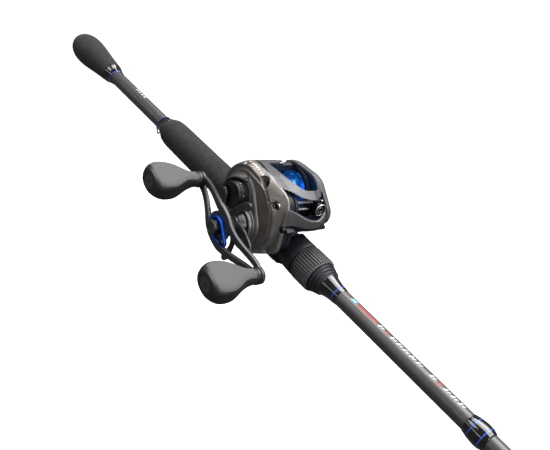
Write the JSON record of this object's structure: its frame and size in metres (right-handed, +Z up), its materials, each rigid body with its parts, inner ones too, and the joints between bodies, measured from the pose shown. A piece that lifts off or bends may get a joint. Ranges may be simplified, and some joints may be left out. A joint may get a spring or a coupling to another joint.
{
  "type": "fishing rod and reel",
  "caption": "Baitcasting rod with split foam grips and a low-profile reel: geared crank, spool, level wind, star drag and removable tip.",
  "frame": {"origin": "on the rod's axis at the butt end", "axes": "+X along the rod to the tip, +Y left to the palm side, +Z up through the reel"},
  "size_m": [1.83, 0.1171, 0.082],
  "materials": {
    "blank": "satin clear coat over dark carbon composite",
    "grip_foam": "matt closed-cell foam",
    "lacquer_black": "thick gloss epoxy over black thread",
    "blue_trim": "gloss",
    "guide_steel": "satin black plated steel",
    "seat_plastic": "satin",
    "nut_plastic": "satin",
    "frame_black": "satin",
    "cover_grey": "metallic satin paint",
    "hood_grey": "metallic satin paint",
    "screw_black": "black oxide",
    "steel": "fine turned",
    "brass": "machined",
    "drag_fibre": "woven carbon fibre",
    "gear_plastic": "natural acetal",
    "crank_grey": "satin dark grey",
    "blue_anodised": "bright blue anodised",
    "knob_grey": "soft matt rubber",
    "knob_cap": "matt",
    "ceramic": "polished",
    "ring_black": "polished"
  },
  "bodies": {
    "rod": {"rod_blank_butt": "blank", "butt_grip": "grip_foam", "butt_winding_check": "lacquer_black", "rear_winding_check": "lacquer_black", "rear_grip": "grip_foam", "hook_keeper": "guide_steel", "reel_seat": "seat_plastic", "front_winding_check": "lacquer_black", "trim_rings": "blue_trim", "ferrule_wrap": "lacquer_black", "reel_frame": "frame_black", "right_side_cover": "cover_grey", "left_side_cover": "cover_grey", "front_cover": "hood_grey", "cover_screws": "screw_black", "spool_bearings": "steel", "roller_bearing": "steel", "level_wind_rod": "steel", "brake_ring": "steel", "tension_shim": "brass"},
    "hood": {"sliding_hood": "seat_plastic"},
    "nut": {"lock_nut": "nut_plastic"},
    "crank": {"drive_shaft": "steel", "drive_gear": "brass", "drag_washers": "drag_fibre", "level_wind_gear": "gear_plastic", "crank_arm": "crank_grey", "handle_nut": "crank_grey", "nut_retainer": "blue_anodised", "retainer_screw": "steel", "knob_spindles": "steel"},
    "star": {"star_drag": "crank_grey"},
    "knob_a": {"knob_1": "knob_grey", "knob_1_cap": "knob_cap"},
    "knob_b": {"knob_2": "knob_grey", "knob_2_cap": "knob_cap"},
    "spool_unit": {"spool": "blue_anodised", "spool_shaft": "steel", "pinion_gear": "brass"},
    "idler": {"idler_gear": "gear_plastic"},
    "worm": {"worm_shaft": "steel", "worm_gear": "gear_plastic"},
    "carriage": {"line_guide": "frame_black", "line_guide_ring": "ceramic"},
    "thumb": {"thumb_bar": "frame_black"},
    "tension": {"tension_knob": "frame_black"},
    "brake": {"brake_dial": "frame_black"},
    "tip": {"tip_blank": "blank", "guide_1": "guide_steel", "guide_2": "guide_steel", "guide_3": "guide_steel", "guide_4": "guide_steel", "guide_5": "guide_steel", "guide_6": "guide_steel", "guide_7": "guide_steel", "tip_top": "guide_steel", "guide_rings": "ring_black", "guide_wraps": "lacquer_black"}
  },
  "joints": [
    {"name": "tip_pull", "type": "slide", "parent": "rod", "child": "tip", "axis": [1, 0, 0], "range_m": [0, 0.1]},
    {"name": "hood_slide", "type": "slide", "parent": "rod", "child": "hood", "axis": [1, 0, 0], "range_m": [0, 0.006]},
    {"name": "nut_turn", "type": "hinge", "parent": "hood", "child": "nut", "pos_m": [0.393, 0, 0], "axis": [1, 0, 0], "range_deg": [0, 870]},
    {"name": "crank_turn", "type": "hinge", "parent": "rod", "child": "crank", "pos_m": [0.3475, -0.045, 0.0085], "axis": [0, 1, 0], "continuous": true},
    {"name": "star_turn", "type": "hinge", "parent": "crank", "child": "star", "pos_m": [0.3475, -0.04, 0.0085], "axis": [0, 1, 0], "range_deg": [-180, 180]},
    {"name": "knob_a_spin", "type": "hinge", "parent": "crank", "child": "knob_a", "pos_m": [0.30634, -0.06, 0.01907], "axis": [0, 1, 0], "continuous": true},
    {"name": "knob_b_spin", "type": "hinge", "parent": "crank", "child": "knob_b", "pos_m": [0.38866, -0.06, -0.00207], "axis": [0, 1, 0], "continuous": true},
    {"name": "spool_spin", "type": "hinge", "parent": "rod", "child": "spool_unit", "pos_m": [0.33632, 0, 0.02508], "axis": [0, 1, 0], "continuous": true},
    {"name": "idler_spin", "type": "hinge", "parent": "rod", "child": "idler", "pos_m": [0.35916, -0.017, 0.02101], "axis": [0, 1, 0], "continuous": true},
    {"name": "worm_spin", "type": "hinge", "parent": "rod", "child": "worm", "pos_m": [0.36837, 0, 0.03088], "axis": [0, 1, 0], "continuous": true},
    {"name": "line_guide_travel", "type": "slide", "parent": "rod", "child": "carriage", "axis": [0, 1, 0], "range_m": [-0.01, 0.006]},
    {"name": "thumb_bar_press", "type": "slide", "parent": "rod", "child": "thumb", "axis": [0, 0, -1], "range_m": [0, 0.003], "stiffness_N_per_m": 800, "springref_m": -0.0008},
    {"name": "tension_turn", "type": "hinge", "parent": "rod", "child": "tension", "pos_m": [0.33632, -0.035, 0.02508], "axis": [0, 1, 0], "range_deg": [-270, 270]},
    {"name": "brake_turn", "type": "hinge", "parent": "rod", "child": "brake", "pos_m": [0.33632, 0.032, 0.02508], "axis": [0, 1, 0], "range_deg": [0, 300]}
  ],
  "couplings": [
    {"joint": "nut_turn", "follows": "hood_slide", "rad_per_m": 2513.3},
    {"joint": "spool_spin", "follows": "crank_turn", "ratio": -6.3333},
    {"joint": "idler_spin", "follows": "crank_turn", "ratio": -1.1111},
    {"joint": "worm_spin", "follows": "crank_turn", "ratio": 1.6667}
  ]
}
